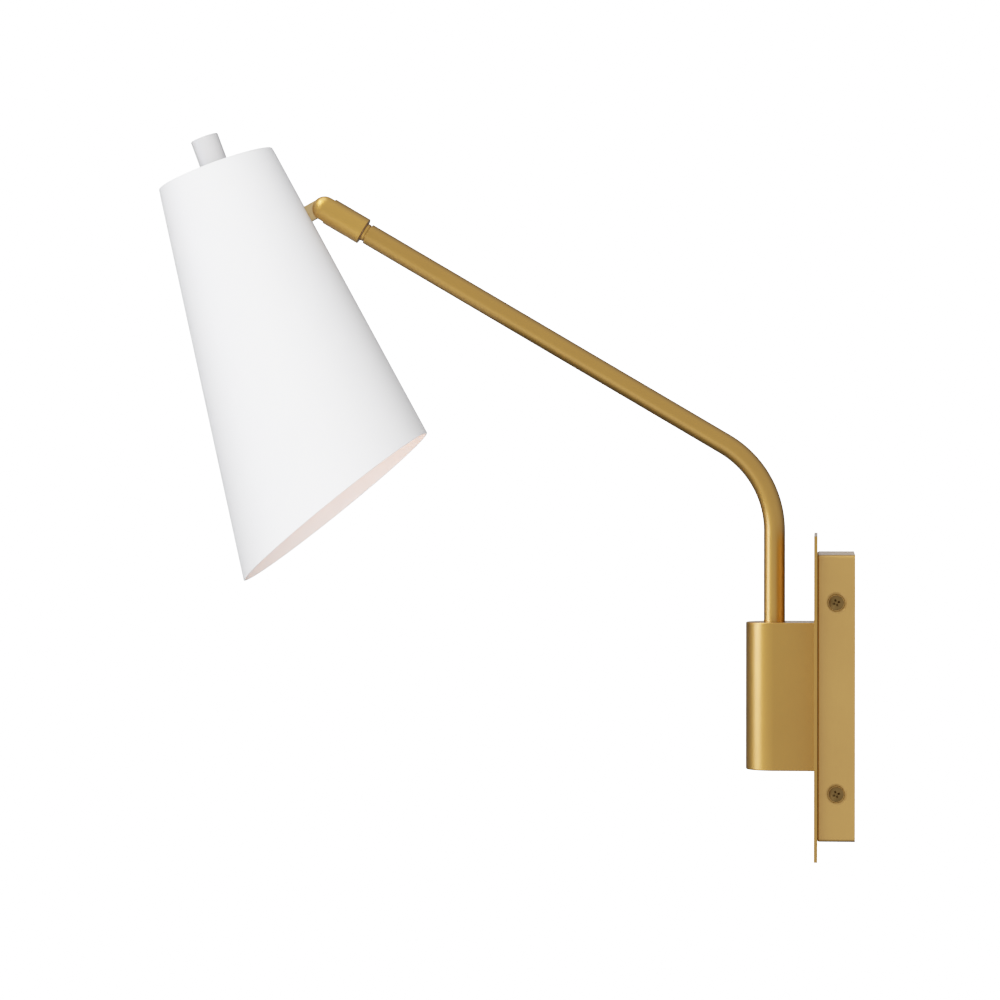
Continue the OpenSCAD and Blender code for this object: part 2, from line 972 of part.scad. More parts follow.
// Radius of the globe at height z
function globe_at(z) = sqrt(globe_r * globe_r - (z - globe_z) * (z - globe_z));

module bulb_globe() {
  color("ivory")
    at_shade()
      difference() {
        translate([0, 0, globe_z])
          sphere(r = globe_r);
        translate([0, 0, globe_z])
          sphere(r = globe_r - 1);
        translate([-globe_r, -globe_r, housing_end])
          cube(2 * globe_r);
      }
}

module head_leads() {
  color("saddlebrown") {
    at_stub()
      for (route = tongue_routes)
        wire(route, lead_r);
    at_shade()
      for (route = head_routes)
        wire(route, lead_r);
  }
}

// ---- Knob ----

module switch_shaft() {
  below_top = 11.8;
  above_top = 14;
  flat_from = 6;
  color("silver")
    at_shade()
      difference() {
        translate([0, 0, -below_top])
          cylinder(r = shaft_r, h = below_top + above_top);
        translate([shaft_flat, -far / 2, flat_from])
          cube([far, far, far]);
      }
}

module knob() {
  foot_gap = 0.4;
  recess_r = 7.3;
  recess_depth = 6;
  bore_from = 5;
  bore_depth = 9.2;
  color("white")
    at_shade()
      difference() {
        translate([0, 0, foot_gap])
          cylinder(r = knob_d / 2, h = knob_h);
        translate([0, 0, -cut])
          cylinder(r = recess_r, h = recess_depth + cut);
        intersection() {
          translate([0, 0, bore_from])
            cylinder(r = shaft_r + 0.02, h = bore_depth);
          translate([-far / 2, -far / 2, 0])
            cube([far / 2 + shaft_flat + 0.02, far, far]);
        }
      }
}

wall_bracket();
back_box();
wall_plate();
side_screws();
pivot_block();
block_screws();
upper_bushing();
lower_bushing();
stop_pin();
plate_grommet();
wall_cable();
lead_wires();
wire_nuts();
ground_screw();
arm_tube();
arm_spindle();
spring_washer();
stop_washer();
spindle_nut();
arm_end_fitting();
arm_cable();
swivel_washer();
knuckle();
swivel_screw();
tilt_screw();
tilt_washers();
knuckle_leads();
tongue();
stem_washer();
stem_nut();
shade();
switch_body();
switch_nut();
socket_bracket();
socket_screws();
socket_cap();
socket_body();
socket_insulator();
screw_shell();
centre_contact();
bulb_base();
bulb_housing();
bulb_globe();
head_leads();
switch_shaft();
knob();
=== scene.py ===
"""Looks of the swing arm wall sconce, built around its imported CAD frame.

Lengths in the shape code are in millimetres; each piece's frame matrix turns them into metres.
"""

import json
import math

import bmesh
import bpy
from mathutils import Matrix, Vector


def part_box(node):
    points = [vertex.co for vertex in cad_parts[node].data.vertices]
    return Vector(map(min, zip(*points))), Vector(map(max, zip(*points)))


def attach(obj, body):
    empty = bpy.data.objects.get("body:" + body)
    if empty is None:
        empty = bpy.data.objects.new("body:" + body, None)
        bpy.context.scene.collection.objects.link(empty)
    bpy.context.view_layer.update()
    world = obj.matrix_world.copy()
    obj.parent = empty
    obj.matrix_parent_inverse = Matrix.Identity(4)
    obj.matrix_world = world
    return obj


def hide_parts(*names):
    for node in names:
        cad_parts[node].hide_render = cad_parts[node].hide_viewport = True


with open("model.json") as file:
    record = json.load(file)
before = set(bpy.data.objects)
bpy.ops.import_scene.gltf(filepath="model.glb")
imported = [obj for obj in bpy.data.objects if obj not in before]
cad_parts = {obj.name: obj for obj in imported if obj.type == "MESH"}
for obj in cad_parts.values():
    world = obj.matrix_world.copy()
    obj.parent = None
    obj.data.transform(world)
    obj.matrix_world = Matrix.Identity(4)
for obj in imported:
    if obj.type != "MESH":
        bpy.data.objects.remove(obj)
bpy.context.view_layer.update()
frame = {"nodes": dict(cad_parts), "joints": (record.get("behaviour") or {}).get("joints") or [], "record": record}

MM = 0.001
RIGHT = Vector((1, 0, 0))
scene = bpy.context.scene
joints = {joint["name"]: joint for joint in frame["joints"]}


# ---------------------------------------------------------------- frames of reference


def frame_at(origin, up):
    """Frame in millimetres with its z along up and its x along the lamp's own x."""
    z = Vector(up).normalized()
    y = z.cross(RIGHT).normalized()
    turn = Matrix((RIGHT, y, z)).transposed().to_4x4()
    return Matrix.Translation(Vector(origin)) @ turn @ Matrix.Scale(MM, 4)


ROW = Matrix.Scale(MM, 4)
SHADE = frame_at(joints["knob_turn"]["pos_m"], joints["knob_turn"]["axis"])
arm_up = Vector(joints["head_twist"]["axis"])
swing_y = joints["arm_swing"]["pos_m"][1]
neck = Vector(joints["head_twist"]["pos_m"])
arm_corner = neck + arm_up * ((swing_y - neck.y) / arm_up.y)
ARM = frame_at(arm_corner, arm_up)
KNUCKLE_START = (neck - arm_corner).length / MM


# ---------------------------------------------------------------- dimensions, as in the CAD source

SHADE_TOP_R = 36.5
SHADE_BOTTOM_R = 70.5
SHADE_LEN = 239.0
SHADE_T = 1.2
MOUTH_SLOPE = math.tan(math.radians(18.6))
TAPER = (SHADE_BOTTOM_R - SHADE_TOP_R) / SHADE_LEN
CONE_HALF = math.atan(TAPER)
STUB_DROP = 45.5
STUB_HOLE_R = 3.45
NECK_HOLE_R = 4.8
TUBE_R = 6.35
TUBE_BORE = 5.1
BEND_R = 60.0
ARM_RUN = 283.0
KNUCKLE_R = 8.2
KNUCKLE_LEN = 35.2
KNOB_R = 8.6
KNOB_FOOT = 0.4
KNOB_TOP = 20.0
BLOCK_WALL = 3.0
BLOCK_SCREW_RISE = 37.0
SIDE_SCREW_HEAD_R = 4.4


# ---------------------------------------------------------------- materials

GLOBE_GLOW = 6.0


def node_tree(name):
    material = bpy.data.materials.new(name)
    material.use_nodes = True
    return material, material.node_tree


def noise(tree, coordinates, scale, detail=3.0, roughness=0.55):
    node = tree.nodes.new("ShaderNodeTexNoise")
    node.inputs["Scale"].default_value = scale
    node.inputs["Detail"].default_value = detail
    node.inputs["Roughness"].default_value = roughness
    tree.links.new(coordinates, node.inputs["Vector"])
    return node.outputs["Fac"]


def spread(tree, value, low, high, start=0.3, end=0.7):
    """Noise between start and end, mapped to low and high."""
    node = tree.nodes.new("ShaderNodeMapRange")
    node.inputs["From Min"].default_value = start
    node.inputs["From Max"].default_value = end
    node.inputs["To Min"].default_value = low
    node.inputs["To Max"].default_value = high
    tree.links.new(value, node.inputs["Value"])
    return node.outputs["Result"]


def blend_colours(tree, factor, first, second):
    node = tree.nodes.new("ShaderNodeMix")
    node.data_type = "RGBA"
    node.inputs["A"].default_value = (*first, 1)
    node.inputs["B"].default_value = (*second, 1)
    tree.links.new(factor, node.inputs["Factor"])
    return node.outputs["Result"]


def bump(tree, height, strength, distance_mm, under=None):
    node = tree.nodes.new("ShaderNodeBump")
    node.inputs["Strength"].default_value = strength
    node.inputs["Distance"].default_value = distance_mm * MM
    tree.links.new(height, node.inputs["Height"])
    if under is not None:
        tree.links.new(under, node.inputs["Normal"])
    return node.outputs["Normal"]


def shader(tree, **values):
    """The Principled node, with plain values set on its own sockets."""
    node = tree.nodes["Principled BSDF"]
    for socket, value in values.items():
        node.inputs[socket.replace("_", " ")].default_value = value
    return node


def grain_coordinates(tree):
    """The piece's own grain attribute: position in metres, drawn out along the brushing."""
    node = tree.nodes.new("ShaderNodeAttribute")
    node.attribute_name = "grain"
    return node.outputs["Vector"]


def object_coordinates(tree):
    return tree.nodes.new("ShaderNodeTexCoord").outputs["Object"]


def brushed_metal(name, light, dark, roughness):
    """Brushed metal: streaks along the grain, a slow drift of tone and uneven gloss."""
    material, tree = node_tree(name)
    grain = grain_coordinates(tree)
    place = object_coordinates(tree)
    streaks = noise(tree, grain, 2600, detail=4)
    drift = noise(tree, place, 28, detail=2)
    smudge = noise(tree, place, 160, detail=5, roughness=0.65)
    metal = shader(tree, Metallic=1.0, Coat_Weight=1.0, Coat_Roughness=0.3, Coat_IOR=1.6)
    tone = tree.nodes.new("ShaderNodeMath")
    tone.operation = "MULTIPLY_ADD"
    tone.inputs[1].default_value = 0.45
    tree.links.new(streaks, tone.inputs[0])
    tree.links.new(drift, tone.inputs[2])
    colour = blend_colours(tree, spread(tree, tone.outputs[0], 0, 1, 0.45, 1.05), dark, light)
    tree.links.new(colour, metal.inputs["Base Color"])
    gloss = spread(tree, smudge, roughness - 0.02, roughness + 0.03)
    tree.links.new(gloss, metal.inputs["Roughness"])
    fine = bump(tree, streaks, 0.012, 0.02)
    tree.links.new(fine, metal.inputs["Normal"])
    return material


def plain_metal(name, light, dark, roughness, scale=700):
    """Plated or cast metal with mottled tone and tiny pits, from object coordinates."""
    material, tree = node_tree(name)
    place = object_coordinates(tree)
    mottle = noise(tree, place, scale, detail=6, roughness=0.6)
    patches = noise(tree, place, scale / 9, detail=3)
    metal = shader(tree, Metallic=1.0)
    colour = blend_colours(tree, spread(tree, patches, 0, 1), dark, light)
    tree.links.new(colour, metal.inputs["Base Color"])
    tree.links.new(spread(tree, mottle, roughness - 0.06, roughness + 0.08), metal.inputs["Roughness"])
    tree.links.new(bump(tree, mottle, 0.12, 0.05), metal.inputs["Normal"])
    return material


def coated(name, light, dark, roughness, peel=0.1, peel_scale=900, coat=0.0):
    """Powder coat or moulded plastic: orange peel, faint unevenness and soft gloss."""
    material, tree = node_tree(name)
    place = object_coordinates(tree)
    peel_noise = noise(tree, place, peel_scale, detail=2, roughness=0.45)
    dust = noise(tree, place, peel_scale * 4, detail=2)
    patches = noise(tree, place, 22, detail=3)
    paint = shader(tree, Metallic=0.0, Coat_Weight=coat, Coat_Roughness=0.3)
    colour = blend_colours(tree, spread(tree, patches, 0, 1), dark, light)
    tree.links.new(colour, paint.inputs["Base Color"])
    tree.links.new(spread(tree, dust, roughness - 0.05, roughness + 0.06), paint.inputs["Roughness"])
    fine = bump(tree, dust, peel * 0.4, 0.02)
    tree.links.new(bump(tree, peel_noise, peel, 0.08, fine), paint.inputs["Normal"])
    return material


def lit_globe(name):
    """Frosted plastic lit from inside: warm, its glow shifting a little in warmth at random."""
    material, tree = node_tree(name)
    place = object_coordinates(tree)
    frost = noise(tree, place, 1500, detail=3)
    cloud = noise(tree, place, 60, detail=2)
    globe = shader(tree, Roughness=0.55, Emission_Strength=GLOBE_GLOW)
    globe.inputs["Base Color"].default_value = (0.9, 0.86, 0.8, 1)
    glow = blend_colours(tree, spread(tree, cloud, 0, 1), (1.0, 0.34, 0.11), (1.0, 0.41, 0.16))
    tree.links.new(glow, globe.inputs["Emission Color"])
    tree.links.new(bump(tree, frost, 0.15, 0.05), globe.inputs["Normal"])
    return material


brass = brushed_metal("satin_brass", (0.452, 0.228, 0.014), (0.42, 0.208, 0.011), 0.42)
# Lighter copy of the brass for the knuckle and end fitting: painted light, standing for light reflected onto them
# from the white shade.
shade_lit_brass = brushed_metal("shade_lit_brass", (0.55, 0.285, 0.024), (0.52, 0.265, 0.02), 0.42)
# Lighter copy of the brass for the back box: painted light on its flat sides.
lit_sheet_brass = brushed_metal("lit_sheet_brass", (0.62, 0.34, 0.064), (0.57, 0.305, 0.054), 0.44)
# Paler copy of the brass for the tongue: a painted highlight on its flat face towards the light.
highlit_face_brass = brushed_metal("highlit_face_brass", (0.60, 0.40, 0.16), (0.52, 0.34, 0.12), 0.45)
screw_brass = plain_metal("antique_brass", (0.24, 0.145, 0.05), (0.16, 0.095, 0.032), 0.36)
zinc = plain_metal("zinc_plate", (0.62, 0.63, 0.64), (0.5, 0.51, 0.53), 0.34)
bright_brass = plain_metal("contact_brass", (0.8, 0.58, 0.25), (0.7, 0.5, 0.2), 0.25)
cap_metal = plain_metal("lamp_cap", (0.78, 0.78, 0.79), (0.68, 0.68, 0.7), 0.22)
ground_green = plain_metal("ground_green", (0.05, 0.36, 0.12), (0.03, 0.25, 0.08), 0.35)
shade_white = coated("white_powder_coat", (0.84, 0.84, 0.845), (0.82, 0.82, 0.83), 0.6, 0.07)
# The knob's white is the shade's white made much darker: painted shade for the dimmer light on the knob.
knob_white = coated("shaded_knob_white", (0.56, 0.553, 0.555), (0.535, 0.528, 0.53), 0.5, 0.05)
nylon = coated("nylon", (0.86, 0.84, 0.78), (0.8, 0.78, 0.71), 0.45)
fibre = coated("brown_fibre", (0.14, 0.085, 0.045), (0.10, 0.06, 0.03), 0.7, 0.2)
rubber = coated("black_rubber", (0.035, 0.035, 0.035), (0.02, 0.02, 0.02), 0.65, 0.15)
sheath = coated("cable_sheath", (0.5, 0.4, 0.18), (0.42, 0.33, 0.14), 0.4, 0.12)
sleeve_black = coated("sleeve_black", (0.04, 0.04, 0.042), (0.025, 0.025, 0.027), 0.35)
orange = coated("orange_moulding", (0.9, 0.33, 0.05), (0.8, 0.27, 0.035), 0.42, 0.12)
phenolic = coated("phenolic", (0.05, 0.045, 0.042), (0.03, 0.028, 0.026), 0.38, 0.1)
ceramic = coated("glazed_ceramic", (0.88, 0.86, 0.8), (0.82, 0.8, 0.74), 0.2, 0.05, coat=0.5)
lamp_white = coated("lamp_moulding", (0.88, 0.87, 0.85), (0.85, 0.84, 0.81), 0.35, 0.05)
globe_lit = lit_globe("frosted_globe")

SLOT_MATERIALS = {
    "brass": brass,
    "shade_white": shade_white,
    "knob_white": knob_white,
    "plated_steel": zinc,
    "brass_screw": screw_brass,
    "bearing_plastic": nylon,
    "fibre": fibre,
    "rubber": rubber,
    "cable_sheath": sheath,
    "lead_sleeve": sleeve_black,
    "wire_nut": orange,
    "ground_green": ground_green,
    "phenolic": phenolic,
    "ceramic": ceramic,
    "contact_brass": bright_brass,
    "lamp_cap": cap_metal,
    "lamp_white": lamp_white,
    "lamp_globe": globe_lit,
}
node_slots = {part["node"]: part["material_slot"] for part in frame["record"]["subparts"]}
node_bodies = {
    node: body
    for body, nodes in frame["record"]["behaviour"]["bodies"].items()
    for node in nodes
}


# ---------------------------------------------------------------- mesh tools

GRAIN_DRAW = 0.035  # how much shorter a step along the grain counts than one across it


def arc(centre_r, centre_z, radius, start, end, steps=6):
    """Points of an arc in a (radius, height) profile; angles in degrees from the r direction."""
    angles = [math.radians(start + (end - start) * i / steps) for i in range(steps + 1)]
    return [(centre_r + radius * math.cos(a), centre_z + radius * math.sin(a)) for a in angles]


def turned(profile, sides=96, closed=True):
    """A bmesh of the profile turned about z. Points at radius 0 become one vertex."""
    bm = bmesh.new()
    rings = []
    for r, z in profile:
        if r < 1e-6:
            rings.append([bm.verts.new((0, 0, z))])
        else:
            turns = [2 * math.pi * k / sides for k in range(sides)]
            rings.append([bm.verts.new((r * math.cos(t), r * math.sin(t), z)) for t in turns])
    count = len(rings)
    for i in range(count if closed else count - 1):
        bridge(bm, rings[i], rings[(i + 1) % count])
    bmesh.ops.recalc_face_normals(bm, faces=bm.faces)
    return bm


def bridge(bm, low, high):
    """Faces between two rings, either of which may be a single vertex."""
    sides = max(len(low), len(high))
    if sides == 1:
        return
    for k in range(sides):
        n = (k + 1) % sides
        if len(low) == 1:
            bm.faces.new((low[0], high[n], high[k]))
        elif len(high) == 1:
            bm.faces.new((low[k], low[n], high[0]))
        else:
            bm.faces.new((low[k], low[n], high[n], high[k]))


def stacked(outlines, cap=True):
    """A bmesh through a list of 3-D outlines with equal point counts; cap closes its ends."""
    bm = bmesh.new()
    rings = [[bm.verts.new(p) for p in outline] for outline in outlines]
    for low, high in zip(rings, rings[1:]):
        bridge(bm, low, high)
    if cap:
        bm.faces.new(list(reversed(rings[0])))
        bm.faces.new(rings[-1])
    bmesh.ops.recalc_face_normals(bm, faces=bm.faces)
    return bm


def block_bm(low, high):
    """A box between two corners, used only as a cutter."""
    bm = bmesh.new()
    bmesh.ops.create_cube(bm, size=1)
    low, high = Vector(low), Vector(high)
    bmesh.ops.scale(bm, vec=high - low, verts=bm.verts)
    bmesh.ops.translate(bm, vec=(low + high) / 2, verts=bm.verts)
    return bm


def rod_bm(radius, start, end, sides=48):
    """A rod between two points, used as a cutter."""
    start, end = Vector(start), Vector(end)
    bm = turned([(0, 0), (radius, 0), (radius, (end - start).length), (0, (end - start).length)], sides)
    turn = Vector((0, 0, 1)).rotation_difference(end - start).to_matrix().to_4x4()
    bmesh.ops.transform(bm, matrix=Matrix.Translation(start) @ turn, verts=bm.verts)
    return bm


def loose_object(name, bm):
    mesh = bpy.data.meshes.new(name)
    bm.to_mesh(mesh)
    bm.free()
    obj = bpy.data.objects.new(name, mesh)
    scene.collection.objects.link(obj)
    return obj


def carve(base, cutters):
    """Cuts a list of bmeshes out of a bmesh and returns the result."""
    target = loose_object("carve_base", base)
    tools = []
    for cutter in cutters:
        tool = loose_object("carve_tool", cutter)
        tools.append(tool)
        modifier = target.modifiers.new("carve", "BOOLEAN")
        modifier.operation = "DIFFERENCE"
        modifier.solver = "EXACT"
        modifier.object = tool
    bpy.context.view_layer.update()
    result = bmesh.new()
    result.from_object(target, bpy.context.evaluated_depsgraph_get())
    for obj in (target, *tools):
        mesh = obj.data
        bpy.data.objects.remove(obj)
        bpy.data.meshes.remove(mesh)
    bmesh.ops.remove_doubles(result, verts=result.verts, dist=1e-4)
    return result


def soften(bm, width, angle=38):
    """Rounds the edges sharper than the angle."""
    edges = [e for e in bm.edges if len(e.link_faces) == 2 and e.calc_face_angle() > math.radians(angle)]
    bmesh.ops.bevel(
        bm, geom=edges, offset=width, segments=2, profile=0.5, affect="EDGES", clamp_overlap=True
    )


def set_grain(mesh, points):
    grain = mesh.attributes.new("grain", "FLOAT_VECTOR", "POINT")
    grain.data.foreach_set("vector", [value for point in points for value in point])


def grain_along(axis):
    """Brushing along one axis of the piece's frame."""

    def points(vertices):
        scale = [GRAIN_DRAW if i == axis else 1.0 for i in range(3)]
        return [[v.co[i] * scale[i] * MM for i in range(3)] for v in vertices]

    return points


def grain_around(vertices):
    """Turning marks: fine along the axis and the radius, drawn out round them."""
    radial_share = 1.3
    made = []
    for v in vertices:
        across = v.co.z + radial_share * math.hypot(v.co.x, v.co.y)
        made.append([v.co.x * GRAIN_DRAW * MM, v.co.y * GRAIN_DRAW * MM, across * MM])
    return made


def weigh_normals(mesh, sharp):
    """Corner normals weighted by face area, so a large flat stays flat beside its rounded edges."""
    limit = math.cos(math.radians(sharp))
    faces = [(polygon.normal.copy(), polygon.area) for polygon in mesh.polygons]
    around = [[] for _ in mesh.vertices]
    for polygon, face in zip(mesh.polygons, faces):
        for vertex in polygon.vertices:
            around[vertex].append(face)
    corners = []
    for polygon, (own, _) in zip(mesh.polygons, faces):
        for vertex in polygon.vertices:
            total = Vector()
            for normal, area in around[vertex]:
                if own.dot(normal) >= limit:
                    total += normal * area
            corners.append(total.normalized())
    mesh.normals_split_custom_set(corners)


def piece(name, bm, place, node, material=None, grain=None, sharp=32):
    """Makes one visible piece from a bmesh in the frame `place`, standing for a CAD node."""
    mesh = bpy.data.meshes.new(name)
    bm.to_mesh(mesh)
    bm.free()
    set_grain(mesh, (grain or grain_along(2))(mesh.vertices))
    mesh.transform(place)
    for polygon in mesh.polygons:
        polygon.use_smooth = True
    mesh.set_sharp_from_angle(angle=math.radians(sharp))
    weigh_normals(mesh, sharp)
    mesh.materials.append(material or SLOT_MATERIALS[node_slots[node]])
    obj = bpy.data.objects.new(name, mesh)
    scene.collection.objects.link(obj)
    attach(obj, node_bodies[node])
    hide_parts(node)
    return obj


def refined(node, width, grain=None, material=None):
    """The CAD node's own shape with its edges rounded."""
    bm = bmesh.new()
    bm.from_mesh(frame["nodes"][node].data)
    bmesh.ops.transform(bm, matrix=ROW.inverted(), verts=bm.verts)
    bmesh.ops.remove_doubles(bm, verts=bm.verts, dist=1e-3)
    bmesh.ops.dissolve_limit(bm, angle_limit=math.radians(0.8), verts=bm.verts, edges=bm.edges)
    soften(bm, width)
    return piece(node + "_finished", bm, ROW, node, material, grain)


# ---------------------------------------------------------------- shade and knob


def mouth_height(radius_at_top, angle):
    """Height at which the mouth's plane cuts a cone line of the shade."""
    rise = MOUTH_SLOPE * math.sin(angle)
    return (-SHADE_LEN + MOUTH_SLOPE * SHADE_BOTTOM_R + rise * radius_at_top) / (1 + rise * TAPER)


def cone_point(radius_at_top, angle, z):
    r = radius_at_top - z * TAPER
    return Vector((r * math.cos(angle), r * math.sin(angle), z))


def flat_ring(r, z, angles):
    return [(r * math.cos(a), r * math.sin(a), z) for a in angles]


def wall_ring(radius_at_top, start, share, angles):
    """Ring on a cone, at a share of the way from the height `start` down to the rim."""
    ring = []
    for a in angles:
        rim = mouth_height(radius_at_top, a) + 0.5 * SHADE_T
        ring.append(cone_point(radius_at_top, a, start + share * (rim - start)))
    return ring


def rim_ring(inner_top, sweep, angles):
    """Ring on the rounded rim, from outside at a sweep of 0 to inside at pi."""
    ring = []
    for a in angles:
        outside = cone_point(SHADE_TOP_R, a, mouth_height(SHADE_TOP_R, a))
        inside = cone_point(inner_top, a, mouth_height(inner_top, a))
        lift = Vector((0, 0, 0.5 * SHADE_T * (1 - math.sin(sweep))))
        ring.append((outside + inside) / 2 + (outside - inside) / 2 * math.cos(sweep) + lift)
    return ring


def make_shade():
    """Spun cone with a closed top, a slanted mouth with a rounded rim, and a hole for the stub."""
    sides, rows, rim_steps = 192, 40, 6
    edge = 0.6
    facet_gap = 0.1  # keeps the round edge inside the CAD node's facets
    flat_radii = (12, 20, 28)
    hole_chamfer, inner_chamfer = 0.2, 2
    inner_top = SHADE_TOP_R - SHADE_T / math.cos(CONE_HALF)
    edge_r = SHADE_TOP_R - edge * (1 - math.sin(CONE_HALF)) / math.cos(CONE_HALF) - facet_gap
    crown = [(r, 0) for r in (NECK_HOLE_R + hole_chamfer, *flat_radii)]
    crown += arc(edge_r, -edge, edge, 90, math.degrees(CONE_HALF), 8)
    ceiling = [(inner_top - inner_chamfer, -SHADE_T)]
    ceiling += [(r, -SHADE_T) for r in (*reversed(flat_radii), NECK_HOLE_R)]
    angles = [2 * math.pi * k / sides for k in range(sides)]
    outlines = [flat_ring(r, z, angles) for r, z in crown]
    wall_start = crown[-1][1]
    outlines += [wall_ring(SHADE_TOP_R, wall_start, i / rows, angles) for i in range(1, rows + 1)]
    outlines += [rim_ring(inner_top, math.pi * i / rim_steps, angles) for i in range(1, rim_steps)]
    inside_start = -SHADE_T - inner_chamfer
    outlines += [wall_ring(inner_top, inside_start, 1 - i / rows, angles) for i in range(rows + 1)]
    outlines += [flat_ring(r, z, angles) for r, z in ceiling]
    bm = stacked(outlines, cap=False)
    bridge(bm, *end_rings(bm, outlines))
    bmesh.ops.recalc_face_normals(bm, faces=bm.faces)
    wall_r = SHADE_TOP_R + STUB_DROP * TAPER
    square_in = Vector((0, -math.cos(CONE_HALF), -math.sin(CONE_HALF)))
    stub = Vector((0, wall_r, -STUB_DROP))
    hole = rod_bm(STUB_HOLE_R, stub - square_in * 3, stub + square_in * 4)
    bm = carve(bm, [hole])
    return piece("shade_spun", bm, SHADE, "shade", grain=grain_around)


def end_rings(bm, outlines):
    """First and last ring of a bmesh that stacked() made."""
    bm.verts.ensure_lookup_table()
    sides = len(outlines[0])
    total = sides * len(outlines)
    return bm.verts[total - sides : total], bm.verts[0:sides]


def make_knob():
    """Turned knob with a recess for the nut and a bore for the shaft."""
    recess_r, recess_top = 7.3, 6.0
    bore_r, bore_top = 3.02, 14.2
    top_edge, foot_edge = 0.55, 0.3
    profile = [(0, KNOB_TOP)]
    profile += arc(KNOB_R - top_edge, KNOB_TOP - top_edge, top_edge, 90, 0)
    profile += arc(KNOB_R - foot_edge, KNOB_FOOT + foot_edge, foot_edge, 0, -90, 4)
    profile += [(recess_r, KNOB_FOOT), (recess_r, recess_top), (bore_r, recess_top)]
    profile += [(bore_r, bore_top), (0, bore_top)]
    knob = turned(profile, 128, closed=False)
    # Its material is a darkened white: painted shade.
    return piece("knob_turned", knob, SHADE, "knob", grain=grain_around)


# ---------------------------------------------------------------- arm


def arm_path():
    """Points of the tube's centre line in the plane of the arm, in mm, from its foot to its end."""
    foot_steps, bend_steps, long_steps = 10, 30, 24
    turn = math.acos(arm_up.z)
    bend_run = BEND_R * math.tan(turn / 2)
    corner = arm_corner / MM
    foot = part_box("arm_tube")[0].z / MM
    bend_z = corner.z - bend_run
    path = [Vector((0, corner.y, foot + (bend_z - foot) * i / foot_steps)) for i in range(foot_steps)]
    for i in range(bend_steps + 1):
        a = turn * i / bend_steps
        path.append(Vector((0, corner.y - BEND_R * (1 - math.cos(a)), bend_z + BEND_R * math.sin(a))))
    corner.x = 0
    for i in range(1, long_steps + 1):
        path.append(corner + arm_up * (bend_run + (ARM_RUN - bend_run) * i / long_steps))
    return path


def tube_ring(centre, ahead, radius, sides):
    up = ahead.cross(RIGHT).normalized()
    turns = [2 * math.pi * k / sides for k in range(sides)]
    return [centre + radius * (math.cos(t) * RIGHT + math.sin(t) * up) for t in turns]


def make_arm_tube():
    """Bent tube with a rounded edge at its upper end, brushed along its length."""
    sides, edge, edge_steps = 64, 0.35, 4
    path = arm_path()
    final = len(path) - 1
    heading = [(path[min(i + 1, final)] - path[max(i - 1, 0)]).normalized() for i in range(final + 1)]
    heading[0], heading[-1] = Vector((0, 0, 1)), arm_up
    run = [0.0]
    for a, b in zip(path, path[1:]):
        run.append(run[-1] + (b - a).length)
    stations = [(path[i], heading[i], TUBE_R, run[i]) for i in range(final)]
    for i in range(edge_steps + 1):
        a = math.radians(90 * i / edge_steps)
        back = edge * (1 - math.sin(a))
        radius = TUBE_R - edge * (1 - math.cos(a))
        stations.append((path[-1] - arm_up * back, arm_up, radius, run[-1] - back))
    stations += [(path[i], heading[i], TUBE_BORE, run[i]) for i in reversed(range(final + 1))]
    outlines = [tube_ring(centre, ahead, radius, sides) for centre, ahead, radius, _ in stations]
    bm = stacked(outlines, cap=False)
    bridge(bm, *end_rings(bm, outlines))
    bmesh.ops.recalc_face_normals(bm, faces=bm.faces)

    def grain(vertices):
        """Brushing along the tube, as if it were straight."""
        made = []
        for i in range(len(vertices)):
            _, _, radius, reach = stations[i // sides]
            t = 2 * math.pi * (i % sides) / sides
            made.append([radius * math.cos(t) * MM, radius * math.sin(t) * MM, reach * GRAIN_DRAW * MM])
        return made

    return piece("arm_tube_bent", bm, ROW, "arm_tube", grain=grain)


def make_end_fitting():
    """Plug, thin neck ring and journal, turned from one bar."""
    ring_r, ring_low, ring_high = 5.55, ARM_RUN + 0.6, ARM_RUN + 2.5
    journal_r, journal_top = 4.5, ARM_RUN + 16.5
    groove_r, groove_low, groove_high = 3.5, KNUCKLE_START + 5, KNUCKLE_START + 8.2
    bore, plug, plug_low = 2.5, TUBE_BORE - 0.03, ARM_RUN - 18
    neck_r, edge = ring_r - 0.7, 0.3
    profile = [(bore, plug_low), (plug, plug_low), (plug, ARM_RUN), (neck_r, ARM_RUN), (neck_r, ring_low)]
    profile += arc(ring_r - edge, ring_low + edge, edge, -90, 0, 3)
    profile += arc(ring_r - edge, ring_high - edge, edge, 0, 90, 3)
    profile += [(journal_r, ring_high), (journal_r, groove_low)]
    profile += [(groove_r, groove_low), (groove_r, groove_high), (journal_r, groove_high)]
    profile += [(journal_r, journal_top - edge), (journal_r - edge, journal_top), (bore, journal_top)]
    # Its lighter brass is painted light reflected from the white shade.
    return piece("arm_end_turned", turned(profile, 96), ARM, "arm_end_fitting", shade_lit_brass, grain_around)


# ---------------------------------------------------------------- knuckle


